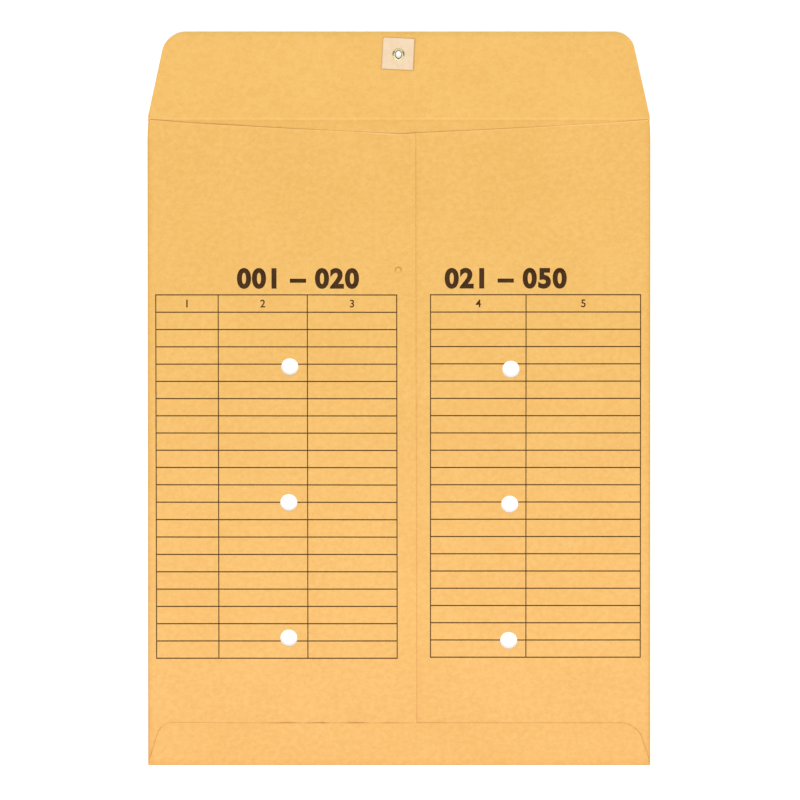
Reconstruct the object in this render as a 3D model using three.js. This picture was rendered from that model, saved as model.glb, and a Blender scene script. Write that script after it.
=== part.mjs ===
import * as THREE from 'three';

// A kraft paper string-and-button envelope, in millimetres. It lies with its seam side up and its flap open:
// X runs across it, Y from the bottom fold towards the flap's tip, and Z up from the table.

// Pocket and paper
const bodyWidth = 254;
const bodyHeight = 330.2;
const paperThickness = 0.16;
const pocketGap = 0.9;
const glueThickness = 0.05;
const glueMargin = 1.2;
const foldClearance = 0.3;

// Closing flap and the score line that it bends along
const flapHeight = 44.45;
const flapSideInset = 9.525;
const flapCornerRadius = 12.7;
const creaseWidth = 2.8;

// V-shaped throat, cut into the two seam side panels
const throatSideDrop = 0.3;
const throatDepth = 7.4;
const throatApexX = 0.7;

// Centre seam, where the left panel lies on the right one
const seamEdgeX = 8.7;
const seamOverlap = 16.7;

// Bottom flap, folded up over both seam side panels
const bottomFlapHeight = 22;
const bottomFlapSideInset = 7.6;
const bottomFlapCornerRadius = 11;
const bottomFoldEndInset = 1;

// Sight holes, punched through the folded pocket in one slightly skewed stroke
const sightHoleDiameter = 8.7;
const sightHoleColumnSpacing = 111.5;
const sightHoleRowPitch = 69.3;
const sightHoleRows = 3;
const sightHoleCentreX = 0.2;
const sightHoleCentreBelowFold = 196.3;
const sightHoleSkew = THREE.MathUtils.degToRad(-0.45);

// Buttons: fibre discs that turn on the barrels of eyelets
const buttonLineX = -0.2;
const flapButtonFromFold = 32.9;
const bodyButtonFromFold = 77.3;
const buttonDiameter = 16;
const buttonThickness = 0.8;
const buttonEdgeRadius = 0.2;
const buttonEndPlay = 0.1;
const buttonBoreClearance = 0.15;

// Eyelets: a flange under the button, a barrel through the paper and a clinched rim on the patch
const eyeletBore = 3;
const eyeletWall = 0.25;
const eyeletFlangeDiameter = 6.4;
const eyeletFlangeThickness = 0.35;
const eyeletClinchDiameter = 5.6;
const eyeletClinchHeight = 0.4;
const eyeletLipRadius = 0.12;
const eyeletRimRadius = 0.15;
const eyeletHoleClearance = 0.1;

// Reinforcing patches under the clinched rims
const patchSide = 15.875;
const patchThickness = 0.25;
const flapPatchTurn = THREE.MathUtils.degToRad(-2.3);
const bodyPatchTurn = THREE.MathUtils.degToRad(1.5);

// Fineness of round outlines: the most that a flat facet may lie inside its arc
const facetDepth = 0.02;
const fewestFacetPairs = 2;

// Levels, from the table up
const buttonBottom = eyeletFlangeThickness + buttonEndPlay;
const sheetBottom = buttonBottom + buttonThickness + buttonEndPlay;
const sheetTop = sheetBottom + paperThickness;
const clinchBottom = sheetTop + patchThickness;
const rightPanelBottom = sheetTop + pocketGap;
const rightPanelTop = rightPanelBottom + paperThickness;
const leftPanelBottom = rightPanelTop + glueThickness;
const leftPanelTop = leftPanelBottom + paperThickness;
const bottomFlapBottom = leftPanelTop + glueThickness;
const bottomFlapTop = bottomFlapBottom + paperThickness;

// Places across and along the envelope
const sideX = bodyWidth / 2;
const bottomY = -(bodyHeight + flapHeight) / 2;
const foldY = bottomY + bodyHeight;
const leftFoldRadius = (leftPanelTop - sheetBottom) / 2;
const rightFoldRadius = (rightPanelTop - sheetBottom) / 2;
const bottomFoldRadius = (bottomFlapTop - sheetBottom) / 2;
const leftFoldX = -sideX + leftFoldRadius;
const rightFoldX = sideX - rightFoldRadius;
const bottomFoldY = bottomY + bottomFoldRadius;
const panelBottomY = bottomFoldY + foldClearance;
const creaseBottomY = foldY - creaseWidth / 2;
const creaseTopY = foldY + creaseWidth / 2;
const bottomFlapTipY = bottomY + bottomFlapHeight;
const hiddenSeamEdgeX = seamEdgeX - seamOverlap;

// Radii of the eyelet's barrel and of what it passes through
const eyeletBoreRadius = eyeletBore / 2;
const eyeletBarrelRadius = eyeletBoreRadius + eyeletWall;
const eyeletHoleRadius = eyeletBarrelRadius + eyeletHoleClearance;
const buttonBoreRadius = eyeletBarrelRadius + buttonBoreClearance;

function paperMaterial(color) {
  return new THREE.MeshStandardMaterial({ color, roughness: 0.85, metalness: 0 });
}

const materials = {
  kraft: () => paperMaterial('#f4be6c'),
  kraftFold: () => paperMaterial('#ecb15c'),
  glue: () => new THREE.MeshStandardMaterial({ color: '#e9d9b4', roughness: 0.4, metalness: 0 }),
  patch: () => paperMaterial('#f6dcb8'),
  fibre: () => new THREE.MeshStandardMaterial({ color: '#8e3a26', roughness: 0.6, metalness: 0 }),
  eyelet: () => new THREE.MeshStandardMaterial({ color: '#c9c5b8', roughness: 0.3, metalness: 1 }),
};

const envelope = new THREE.Group();

function addPiece(name, geometry, material, x, y, z) {
  const piece = new THREE.Mesh(geometry, material);
  piece.name = name;
  piece.position.set(x, y, z);
  envelope.add(piece);
}

// A flat sheet of paper or glue, whose outline is drawn where it lies.
function addSheet(name, outline, thickness, material, z) {
  addPiece(name, plateGeometry(outline, thickness), material, 0, 0, z);
}

// Facets of an arc, always an even number, so that a point lies at its middle.
function facetCount(radius, sweep) {
  const facetSweep = 2 * Math.acos(1 - facetDepth / radius);
  return 2 * Math.max(fewestFacetPairs, Math.ceil(sweep / (2 * facetSweep)));
}

function arcPoints(centreX, centreY, radius, startAngle, endAngle) {
  const count = facetCount(radius, Math.abs(endAngle - startAngle));
  return Array.from({ length: count + 1 }, (_, step) => {
    const angle = startAngle + ((endAngle - startAngle) * step) / count;
    return new THREE.Vector2(centreX + radius * Math.cos(angle), centreY + radius * Math.sin(angle));
  });
}

// The arc that rounds a corner whose outline turns to the left there.
function cornerPoints(before, corner, after, radius) {
  const toBefore = before.clone().sub(corner).normalize();
  const toAfter = after.clone().sub(corner).normalize();
  const halfAngle = Math.acos(toBefore.dot(toAfter)) / 2;
  const bisector = toBefore.clone().add(toAfter).normalize();
  const centre = corner.clone().addScaledVector(bisector, radius / Math.sin(halfAngle));
  const reach = radius / Math.tan(halfAngle);
  const startAngle = corner.clone().addScaledVector(toBefore, reach).sub(centre).angle();
  return arcPoints(centre.x, centre.y, radius, startAngle, startAngle + Math.PI - 2 * halfAngle);
}

// A closed outline through [x, y, radius] corners, given anticlockwise. Corners without a radius stay sharp.
function outlinePoints(corners) {
  const places = corners.map(([x, y]) => new THREE.Vector2(x, y));
  return corners.flatMap(([, , radius], index) => {
    if (!radius) return [places[index]];
    return cornerPoints(places.at(index - 1), places[index], places[(index + 1) % places.length], radius);
  });
}

function outlineShape(corners) {
  return new THREE.Shape(outlinePoints(corners));
}

function cutRoundHole(outline, x, y, radius) {
  const circle = arcPoints(x, y, radius, Math.PI * 2, 0);
  circle.pop();
  outline.holes.push(new THREE.Path(circle));
}

function plateGeometry(outline, thickness) {
  return new THREE.ExtrudeGeometry(outline, { depth: thickness, bevelEnabled: false });
}

// Centres of the sight holes of one column, -1 for the left one and 1 for the right one.
function sightHoleCentres(column) {
  const centre = new THREE.Vector2(sightHoleCentreX, foldY - sightHoleCentreBelowFold);
  return Array.from({ length: sightHoleRows }, (_, row) => {
    const offsetX = (column * sightHoleColumnSpacing) / 2;
    const offsetY = (row - (sightHoleRows - 1) / 2) * sightHoleRowPitch;
    return centre.clone().add(new THREE.Vector2(offsetX, offsetY)).rotateAround(centre, sightHoleSkew);
  });
}

function cutSightHoles(outline, column) {
  for (const { x, y } of sightHoleCentres(column)) cutRoundHole(outline, x, y, sightHoleDiameter / 2);
}

// The V of the throat: lowest at its apex, and just under the score line at the sides.
function throatY(x) {
  const reach = x < throatApexX ? throatApexX + sideX : sideX - throatApexX;
  const rise = Math.abs(x - throatApexX) / reach;
  return foldY - throatDepth + (throatDepth - throatSideDrop) * rise;
}

function flapHalfWidth(fromFold) {
  return sideX - (flapSideInset * fromFold) / flapHeight;
}

function bottomFlapHalfWidth(fromBottom) {
  return sideX - bottomFoldEndInset - (bottomFlapSideInset * fromBottom) / bottomFlapHeight;
}

// Half of a round paper fold, opening towards +X, with its axis on the Y axis and its length along +Y.
function foldGeometry(outerRadius, length) {
  const outside = arcPoints(0, 0, outerRadius, Math.PI / 2, (Math.PI * 3) / 2);
  const inside = arcPoints(0, 0, outerRadius - paperThickness, (Math.PI * 3) / 2, Math.PI / 2);
  const geometry = plateGeometry(new THREE.Shape([...outside, ...inside]), length);
  geometry.rotateX(Math.PI / 2);
  geometry.translate(0, length, 0);
  return geometry;
}

function addFrontPanel() {
  const outline = outlineShape([
    [leftFoldX, bottomFoldY],
    [rightFoldX, bottomFoldY],
    [rightFoldX, creaseBottomY],
    [leftFoldX, creaseBottomY],
  ]);
  cutSightHoles(outline, -1);
  cutSightHoles(outline, 1);
  cutRoundHole(outline, buttonLineX, foldY - bodyButtonFromFold, eyeletHoleRadius);
  addSheet('front_panel', outline, paperThickness, materials.kraft(), sheetBottom);
}

function addLeftBackPanel() {
  const outline = outlineShape([
    [leftFoldX, panelBottomY],
    [seamEdgeX, panelBottomY],
    [seamEdgeX, throatY(seamEdgeX)],
    [throatApexX, throatY(throatApexX)],
    [leftFoldX, throatY(leftFoldX)],
  ]);
  cutSightHoles(outline, -1);
  addSheet('left_back_panel', outline, paperThickness, materials.kraft(), leftPanelBottom);
}

function addRightBackPanel() {
  const outline = outlineShape([
    [hiddenSeamEdgeX, panelBottomY],
    [rightFoldX, panelBottomY],
    [rightFoldX, throatY(rightFoldX)],
    [throatApexX, throatY(throatApexX)],
    [hiddenSeamEdgeX, throatY(hiddenSeamEdgeX)],
  ]);
  cutSightHoles(outline, 1);
  addSheet('right_back_panel', outline, paperThickness, materials.kraft(), rightPanelBottom);
}

function addSideFolds() {
  const length = creaseBottomY - foldClearance - panelBottomY;
  const leftFold = foldGeometry(leftFoldRadius, length);
  const leftFoldZ = sheetBottom + leftFoldRadius;
  addPiece('left_side_fold', leftFold, materials.kraftFold(), leftFoldX, panelBottomY, leftFoldZ);
  const rightFold = foldGeometry(rightFoldRadius, length);
  rightFold.rotateZ(Math.PI);
  rightFold.translate(0, length, 0);
  const rightFoldZ = sheetBottom + rightFoldRadius;
  addPiece('right_side_fold', rightFold, materials.kraftFold(), rightFoldX, panelBottomY, rightFoldZ);
}

function addBottomFold() {
  const halfLength = bottomFlapHalfWidth(bottomFoldRadius);
  const bottomFold = foldGeometry(bottomFoldRadius, halfLength * 2);
  bottomFold.rotateZ(Math.PI / 2);
  const bottomFoldZ = sheetBottom + bottomFoldRadius;
  addPiece('bottom_fold', bottomFold, materials.kraftFold(), halfLength, bottomFoldY, bottomFoldZ);
}

function addBottomFlap() {
  const rootHalfWidth = bottomFlapHalfWidth(bottomFoldRadius);
  const tipHalfWidth = bottomFlapHalfWidth(bottomFlapHeight);
  const outline = outlineShape([
    [-rootHalfWidth, bottomFoldY],
    [rootHalfWidth, bottomFoldY],
    [tipHalfWidth, bottomFlapTipY, bottomFlapCornerRadius],
    [-tipHalfWidth, bottomFlapTipY, bottomFlapCornerRadius],
  ]);
  addSheet('bottom_flap', outline, paperThickness, materials.kraft(), bottomFlapBottom);
}

function addClosureFlap() {
  const rootHalfWidth = flapHalfWidth(creaseWidth / 2);
  const tipHalfWidth = flapHalfWidth(flapHeight);
  const tipY = foldY + flapHeight;
  const outline = outlineShape([
    [-rootHalfWidth, creaseTopY],
    [rootHalfWidth, creaseTopY],
    [tipHalfWidth, tipY, flapCornerRadius],
    [-tipHalfWidth, tipY, flapCornerRadius],
  ]);
  cutRoundHole(outline, buttonLineX, foldY + flapButtonFromFold, eyeletHoleRadius);
  addSheet('closure_flap', outline, paperThickness, materials.kraft(), sheetBottom);
}

// The scored strip of paper that joins the front panel to the closing flap and bends as the flap turns.
function addFlapCrease() {
  const halfWidth = flapHalfWidth(creaseWidth / 2);
  const outline = outlineShape([
    [-halfWidth, creaseBottomY],
    [halfWidth, creaseBottomY],
    [halfWidth, creaseTopY],
    [-halfWidth, creaseTopY],
  ]);
  addSheet('flap_crease', outline, paperThickness, materials.kraftFold(), sheetBottom);
}

function addSeamGlue() {
  const outline = outlineShape([
    [hiddenSeamEdgeX + glueMargin, panelBottomY + glueMargin],
    [seamEdgeX - glueMargin, panelBottomY + glueMargin],
    [seamEdgeX - glueMargin, foldY - throatDepth - glueMargin],
    [hiddenSeamEdgeX + glueMargin, foldY - throatDepth - glueMargin],
  ]);
  addSheet('seam_glue', outline, glueThickness, materials.glue(), rightPanelTop);
}

// One film of glue under the bottom flap, thicker to the right of the seam, where it fills the step.
function addBottomFlapGlue() {
  const halfWidth = bottomFlapHalfWidth(bottomFlapHeight) - bottomFlapCornerRadius;
  const section = new THREE.Shape();
  section.moveTo(-halfWidth, leftPanelTop);
  section.lineTo(seamEdgeX, leftPanelTop);
  section.lineTo(seamEdgeX, rightPanelTop);
  section.lineTo(halfWidth, rightPanelTop);
  section.lineTo(halfWidth, bottomFlapBottom);
  section.lineTo(-halfWidth, bottomFlapBottom);
  const startY = panelBottomY + glueMargin;
  const length = bottomFlapTipY - glueMargin - startY;
  const geometry = plateGeometry(section, length);
  geometry.rotateX(Math.PI / 2);
  addPiece('bottom_flap_glue', geometry, materials.glue(), 0, startY + length, 0);
}

function patchGeometry(turn) {
  const half = patchSide / 2;
  const corners = [[-half, -half], [half, -half], [half, half], [-half, half]];
  const origin = new THREE.Vector2();
  const outline = outlineShape(
    corners.map(([x, y]) => new THREE.Vector2(x, y).rotateAround(origin, turn).toArray()),
  );
  cutRoundHole(outline, 0, 0, eyeletHoleRadius);
  return plateGeometry(outline, patchThickness);
}

// Turns a closed section about the Z axis. Its corners give the radius and the height.
function turnedGeometry(corners, largestRadius) {
  const section = outlinePoints(corners);
  section.push(section[0]);
  const geometry = new THREE.LatheGeometry(section, facetCount(largestRadius, Math.PI * 2));
  geometry.rotateX(Math.PI / 2);
  return geometry;
}

function eyeletGeometry() {
  const flangeRadius = eyeletFlangeDiameter / 2;
  const clinchRadius = eyeletClinchDiameter / 2;
  const clinchTop = clinchBottom + eyeletClinchHeight;
  const corners = [
    [eyeletBoreRadius, 0, eyeletLipRadius],
    [flangeRadius, 0, eyeletRimRadius],
    [flangeRadius, eyeletFlangeThickness, eyeletRimRadius],
    [eyeletBarrelRadius, eyeletFlangeThickness],
    [eyeletBarrelRadius, clinchBottom],
    [clinchRadius, clinchBottom, eyeletRimRadius],
    [clinchRadius, clinchTop, eyeletRimRadius],
    [eyeletBoreRadius, clinchTop, eyeletLipRadius],
  ];
  return turnedGeometry(corners, flangeRadius);
}

function buttonGeometry() {
  const outerRadius = buttonDiameter / 2;
  const corners = [
    [buttonBoreRadius, 0],
    [outerRadius, 0, buttonEdgeRadius],
    [outerRadius, buttonThickness, buttonEdgeRadius],
    [buttonBoreRadius, buttonThickness],
  ];
  return turnedGeometry(corners, outerRadius);
}

function addButtonSet(name, fromFold, patchTurn) {
  const y = foldY + fromFold;
  addPiece(`${name}_patch`, patchGeometry(patchTurn), materials.patch(), buttonLineX, y, sheetTop);
  addPiece(`${name}_eyelet`, eyeletGeometry(), materials.eyelet(), buttonLineX, y, 0);
  addPiece(`${name}_button`, buttonGeometry(), materials.fibre(), buttonLineX, y, buttonBottom);
}

addFrontPanel();
addSideFolds();
addBottomFold();
addRightBackPanel();
addSeamGlue();
addLeftBackPanel();
addBottomFlapGlue();
addBottomFlap();
addFlapCrease();
addClosureFlap();
addButtonSet('flap', flapButtonFromFold, flapPatchTurn);
addButtonSet('body', -bodyButtonFromFold, bodyPatchTurn);

export default envelope;
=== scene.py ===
import math

import bmesh
import bpy
from bpy.props import FloatProperty, FloatVectorProperty, IntProperty, PointerProperty, StringProperty
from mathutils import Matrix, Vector


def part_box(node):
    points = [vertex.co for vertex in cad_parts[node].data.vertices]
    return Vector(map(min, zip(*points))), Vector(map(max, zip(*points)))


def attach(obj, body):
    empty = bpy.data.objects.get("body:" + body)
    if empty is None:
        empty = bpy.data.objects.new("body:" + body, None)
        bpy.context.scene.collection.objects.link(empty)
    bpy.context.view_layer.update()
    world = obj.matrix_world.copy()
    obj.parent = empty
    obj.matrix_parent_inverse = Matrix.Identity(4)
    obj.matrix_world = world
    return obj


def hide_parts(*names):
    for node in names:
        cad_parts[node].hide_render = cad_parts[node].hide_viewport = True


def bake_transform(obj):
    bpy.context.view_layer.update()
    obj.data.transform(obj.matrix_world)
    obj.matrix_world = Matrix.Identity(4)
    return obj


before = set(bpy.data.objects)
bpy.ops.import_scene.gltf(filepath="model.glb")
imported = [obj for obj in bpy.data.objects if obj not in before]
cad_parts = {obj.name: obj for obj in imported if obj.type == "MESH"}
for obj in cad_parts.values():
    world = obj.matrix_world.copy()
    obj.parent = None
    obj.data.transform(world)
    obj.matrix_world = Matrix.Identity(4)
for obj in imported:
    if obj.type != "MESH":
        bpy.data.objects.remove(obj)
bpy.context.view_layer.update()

bl_info = {
    "name": "Kraft Form Envelope",
    "version": (1, 0, 0),
    "blender": (4, 5, 0),
    "location": "View3D > Sidebar > Envelope",
    "description": "Builds an open-end kraft envelope with sight holes, buttons and two ruled forms",
    "category": "Add Mesh",
}

MM = 0.001

# Places of the CAD's own sheets, which every new sheet keeps
FRONT_LOW, FRONT_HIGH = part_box("front_panel")
LEFT_LOW, LEFT_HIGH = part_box("left_back_panel")
RIGHT_LOW, RIGHT_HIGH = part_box("right_back_panel")
TURN_IN_LOW, TURN_IN_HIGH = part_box("bottom_flap")
CREASE_LOW, CREASE_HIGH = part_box("flap_crease")
FLAP_LOW, FLAP_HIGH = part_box("closure_flap")

PAPER = FRONT_HIGH.z - FRONT_LOW.z
FOLD_Y = (CREASE_LOW.y + CREASE_HIGH.y) / 2
SIDE_X = 127 * MM

# The mouth: its cut edge, the stretches where it gapes or lies flat (share; start, full, last and end in mm), and
# the lines that hold its lip's curl
THROAT_APEX_X = 0.7 * MM
THROAT_APEX_Y = FOLD_Y - 7.6 * MM
THROAT_SIDE_Y = FOLD_Y - 0.3 * MM
THROAT_RISE = THROAT_SIDE_Y - THROAT_APEX_Y
GAPES = ((1.1, -98, -89, -84, -74), (0.33, -122, -108, -61, -47), (0.25, 1, 14, 22, 40))
FLATS = ((1.0, -54, -19, -7, -1), (0.4, -140, -130, -122, -112), (0.65, 58, 86, 124, 133))
FLAT_DEPTH = 0.10 * MM
PRESS_REACH = 45 * MM
LONE_PANEL_PRESS = 0.2 * MM
LIP_REACH = 1.9 * MM
LIP_LINES = (0.3, 0.65, 1.05, 1.5, 1.95)
MOUTH_BOW = 0.37 * MM
BOW_ENDS = (12, 62, 104, 124)
APEX_BLUNTING = 0.04 * MM

# The side folds: how they roll, how flat their upper ends are pressed and how they run
FOLD_STEPS = 14
FOLD_REACH = 16 * MM
LEFT_FOLD_PRESS = 0.25 * MM
RIGHT_FOLD_PRESS = 0.5 * MM
FOLD_DRAW_IN = 0.35 * MM
FOOT_SPREAD = 0.3 * MM

# The seam's edge: its lift, where it starts and how far it has run to the right at the foot
SEAM_LIFT = 0.24 * MM
SEAM_LIFT_REACH = 1.5 * MM
SEAM_START = -0.38 * MM
SEAM_SKEW = 0.63 * MM
SEAM_COLUMNS = (0.4, 0.9, 1.5)

# The closing flap: its tips, their corners, its drooping edge, its dented score line and the step to that line
FLAP_TIP_LEFT = -117.475 * MM
FLAP_TIP_RIGHT = 117.1 * MM
FLAP_CORNERS = ((FLAP_TIP_LEFT, 9.7 * MM), (FLAP_TIP_RIGHT, 8.2 * MM))
FLAP_ROWS = (0.35, 0.8, 1.4, 2.2, 3.2)
EDGE_DROOP = 0.17 * MM
EDGE_DROOP_REACH = 3.2 * MM
SCORE_DENT = 0.11 * MM
SCORE_DENT_DROP = 0.3 * MM
SCORE_DENT_WIDTH = 0.55 * MM
CREASE_STEP = 0.3 * MM

# The bottom flap: its outline, and where the glue missed its edge (middle and half width in mm, share)
TURN_IN_ROOT_HALF = 127 * MM
TURN_IN_TIP_HALF = 120.3 * MM
TURN_IN_CORNERS = ((-1, 5.5 * MM), (1, 8 * MM))
TURN_IN_ROWS = (0.5, 1.2, 2.4, 4)
TURN_IN_LOOSE = ((-58, 8, 1), (-40, 6, 1), (-21.5, 8, 1), (-4, 9, 0.45))
TURN_IN_SIDE_LIFT = 0.40 * MM
TURN_IN_RIGHT_SHARE = 0.36
TURN_IN_EDGE_DROOP = 0.045 * MM
TURN_IN_DROOP_REACH = 2.4 * MM
TURN_IN_SKEW = 0.3 * MM
GLUE_PRESS = 0.11 * MM

# The buttons' line and what stands on it
FLAP_BUTTON = Vector(((FLAP_LOW.x + FLAP_HIGH.x) / 2 - 0.2 * MM, FOLD_Y + 32.9 * MM))
BODY_BUTTON = Vector((-0.2 * MM, FOLD_Y - 77.3 * MM))
BUTTON_RADIUS = 8 * MM
BUTTON_INSETS = ((0.9 * MM, 0), (0.25 * MM, -0.05 * MM), (2.2 * MM, 0), (0.3 * MM, 0.05 * MM))
EYELET_HOLE_RADIUS = 2.16 * MM
BUTTON_HOLE_RADIUS = EYELET_HOLE_RADIUS + 0.04 * MM
EYELET_BORE = 1.4 * MM
EYELET_WALL = 0.35 * MM
EYELET_RIM = 3.2 * MM
BORE_STRETCH_UP = 0.22
BORE_STRETCH_DOWN = 0.42
CLINCH_SPLITS = (
    (18, 0.20, 0.5), (67, 0.26, 0.75), (118, 0.18, 0.45), (151, 0.3, 0.8),
    (205, 0.2, 0.5), (252, 0.17, 0.4), (297, 0.22, 0.55), (338, 0.16, 0.4),
)
RING_CENTRE = BODY_BUTTON + Vector((-0.1 * MM, 0.35 * MM))
RING_RADIUS = 1.5 * MM
RING_WIDTH = 0.4 * MM
PATCH_SIDE = 16.1 * MM
PATCH_OFFSET = Vector((-0.2 * MM, 0.33 * MM))
PATCH_CURL = 0.16 * MM
PATCH_CURL_START = 5.5 * MM
FLAP_PATCH_TURN = math.radians(-2.75)
BODY_PATCH_TURN = math.radians(1.5)

# The sight holes, which are a little wider in the front sheet
LEFT_SIGHT_HOLES = ((-55.16 * MM, 16.62 * MM), (-55.71 * MM, -52.80 * MM), (-55.72 * MM, -122.07 * MM))
RIGHT_SIGHT_HOLES = ((56.65 * MM, 15.34 * MM), (56.07 * MM, -53.68 * MM), (55.58 * MM, -123.34 * MM))
SIGHT_HOLE_RADIUS = 4.31 * MM
FRONT_HOLE_RADIUS = 4.40 * MM

# The printed forms: column lines, tops, row pitches, and the headings' middles
LEFT_COLUMNS = [x * MM for x in (-122.9, -91.35, -46.3, -1.1)]
RIGHT_COLUMNS = [x * MM for x in (16.0, 64.3, 122.2)]
LEFT_FORM_TOP, RIGHT_FORM_TOP = FOLD_Y - 89.56 * MM, FOLD_Y - 89.5 * MM
LEFT_ROW_PITCH, RIGHT_ROW_PITCH = 8.845 * MM, 8.824 * MM
LEFT_HEADING_X, RIGHT_HEADING_X = -51 * MM, 54 * MM
HEADING_RISE = 8.4 * MM
HEADING_WEIGHT, HEADING_SPACING, NUMBER_WEIGHT = 0.045, 1.12, 0.012
FORM_SKEW = 0.25 * MM
FORM_SKEW_REACH = 185 * MM
PUNCH_CLEARANCE = 0.01 * MM
ROW_DRIFT = 0.36 * MM

# Lines along which every sheet and print is sliced, so that they all settle alike
SLICE_STEP = 7 * MM
FINE_SLICE_STEP = 3.5 * MM
FINE_SLICE_REACH = 42 * MM

# The stage, in metres: its floor, where the floor turns white, the middle of the view and where the light is
FLOOR_RADIUS = 4
WHITE_START, WHITE_FULL = 0.42, 0.9
VIEW_CENTRE = Vector((0.57 * MM, -0.41 * MM, 2 * MM))
KEY_PLACE = (-0.1, -0.9, 1.6)
KEY_DIRECTION = Vector((-0.09, -0.6, 1.0))
SENSOR_WIDTH = 36

NEAR = 1e-6


# Bench tools

def clear_bench():
    """Leaves edit mode and deselects everything."""
    if bpy.context.mode != "OBJECT":
        bpy.ops.object.mode_set(mode="OBJECT")
    bpy.ops.object.select_all(action="DESELECT")


def take_up(piece):
    """Makes piece the one selected object."""
    clear_bench()
    piece.select_set(True)
    bpy.context.view_layer.objects.active = piece


def open_mesh(piece, kind="VERT"):
    """Takes piece into edit mode with nothing of it selected."""
    take_up(piece)
    bpy.ops.object.mode_set(mode="EDIT")
    bpy.ops.mesh.select_mode(type=kind)
    bpy.ops.mesh.select_all(action="DESELECT")


def pick(piece, test, kind="VERT"):
    """Selects the vertices that pass test, the edges whose ends do or the faces whose middles do."""
    bpy.ops.mesh.select_mode(type=kind)
    bpy.ops.mesh.select_all(action="DESELECT")
    shape = bmesh.from_edit_mesh(piece.data)
    if kind == "VERT":
        for vertex in shape.verts:
            vertex.select_set(test(vertex.co))
    elif kind == "EDGE":
        for edge in shape.edges:
            edge.select_set(all(test(vertex.co) for vertex in edge.verts))
    else:
        for face in shape.faces:
            face.select_set(test(face.calc_center_median()))
    shape.select_flush_mode()
    bmesh.update_edit_mesh(piece.data)


def close_mesh():
    bpy.ops.object.mode_set(mode="OBJECT")


def cut_across(point, normal):
    """Cuts all of the open mesh along a plane, and keeps both sides."""
    bpy.ops.mesh.select_all(action="SELECT")
    bpy.ops.mesh.bisect(plane_co=point, plane_no=normal)


def weld_and_close():
    """Welds doubled vertices of the open mesh, turns its faces outwards and leaves edit mode."""
    bpy.ops.mesh.select_all(action="SELECT")
    bpy.ops.mesh.remove_doubles(threshold=0.001 * MM)
    bpy.ops.mesh.normals_make_consistent(inside=False)
    close_mesh()


def edit_all(piece, operator, **settings):
    """Runs one mesh operator on all of piece."""
    open_mesh(piece)
    bpy.ops.mesh.select_all(action="SELECT")
    operator(**settings)
    close_mesh()


def named(piece, name):
    piece.name = name
    piece.data.name = name
    return piece


def put_in_place():
    """Moves the selected objects' place, turn and scale into their meshes."""
    bpy.ops.object.transform_apply(location=True, rotation=True, scale=True)


def apply_modifier(piece, kind, **settings):
    """Adds one modifier to piece, with its settings, and applies it."""
    take_up(piece)
    modifier = piece.modifiers.new(kind.title(), kind)
    for setting, value in settings.items():
        setattr(modifier, setting, value)
    bpy.ops.object.modifier_apply(modifier=modifier.name)


def soften(piece, width, segments, angle):
    """Bevels the edges that are sharper than angle, in degrees."""
    apply_modifier(piece, "BEVEL", width=width, segments=segments, limit_method="ANGLE",
                   angle_limit=math.radians(angle))


def join(pieces, name):
    """Joins pieces into the first of them."""
    clear_bench()
    for piece in pieces:
        piece.select_set(True)
    bpy.context.view_layer.objects.active = pieces[0]
    bpy.ops.object.join()
    return named(bpy.context.object, name)


def subtract(piece, cutter, crossing=False):
    """Takes cutter's room out of piece. Crossing says that piece is strips that cross."""
    apply_modifier(piece, "BOOLEAN", operation="DIFFERENCE", solver="EXACT", use_self=crossing, object=cutter)
    bpy.data.objects.remove(cutter, do_unlink=True)


def lay_plane(name, low, high, z):
    """A flat plane between two corners in plan."""
    clear_bench()
    bpy.ops.mesh.primitive_plane_add(size=1, location=((low[0] + high[0]) / 2, (low[1] + high[1]) / 2, z))
    plane = bpy.context.object
    plane.scale = (high[0] - low[0], high[1] - low[1], 1)
    put_in_place()
    return named(plane, name)


def lay_block(name, low, high):
    """A block between two corners."""
    clear_bench()
    bpy.ops.mesh.primitive_cube_add(size=1, location=(Vector(low) + Vector(high)) / 2)
    block = bpy.context.object
    block.scale = Vector(high) - Vector(low)
    put_in_place()
    return named(block, name)


def slice_lines(low, high, fine_at):
    """Coordinates to slice at, between low and high, closer together round fine_at."""
    lines = []
    for step in range(math.floor(low / FINE_SLICE_STEP), math.ceil(high / FINE_SLICE_STEP) + 1):
        line = step * FINE_SLICE_STEP
        fine = abs(line - fine_at) < FINE_SLICE_REACH
        if low < line < high and (fine or step % round(SLICE_STEP / FINE_SLICE_STEP) == 0):
            lines.append(line)
    return lines


def slice_up(piece, extra_rows=(), extra_columns=()):
    """Slices piece along the shared lines, and along any of its own."""
    low = [min(vertex.co[axis] for vertex in piece.data.vertices) for axis in (0, 1)]
    high = [max(vertex.co[axis] for vertex in piece.data.vertices) for axis in (0, 1)]
    columns = slice_lines(low[0], high[0], BODY_BUTTON.x) + list(extra_columns)
    rows = slice_lines(low[1], high[1], BODY_BUTTON.y) + list(extra_rows)
    open_mesh(piece)
    for column in columns:
        cut_across((column, 0, 0), (1, 0, 0))
    for row in rows:
        cut_across((0, row, 0), (0, 1, 0))
    close_mesh()


def drill(piece, places, radius, crossing=False):
    """Cuts a round hole right through piece at each place."""
    clear_bench()
    drills = []
    for x, y in places:
        bpy.ops.mesh.primitive_cylinder_add(vertices=64, radius=radius, depth=20 * MM, location=(x, y, 0))
        put_in_place()
        drills.append(bpy.context.object)
    subtract(piece, join(drills, "drill"), crossing)


def shade(piece):
    take_up(piece)
    bpy.ops.object.shade_smooth_by_angle(angle=math.radians(35))


# Shares: how much of a movement a place takes, from 0 to 1

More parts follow.
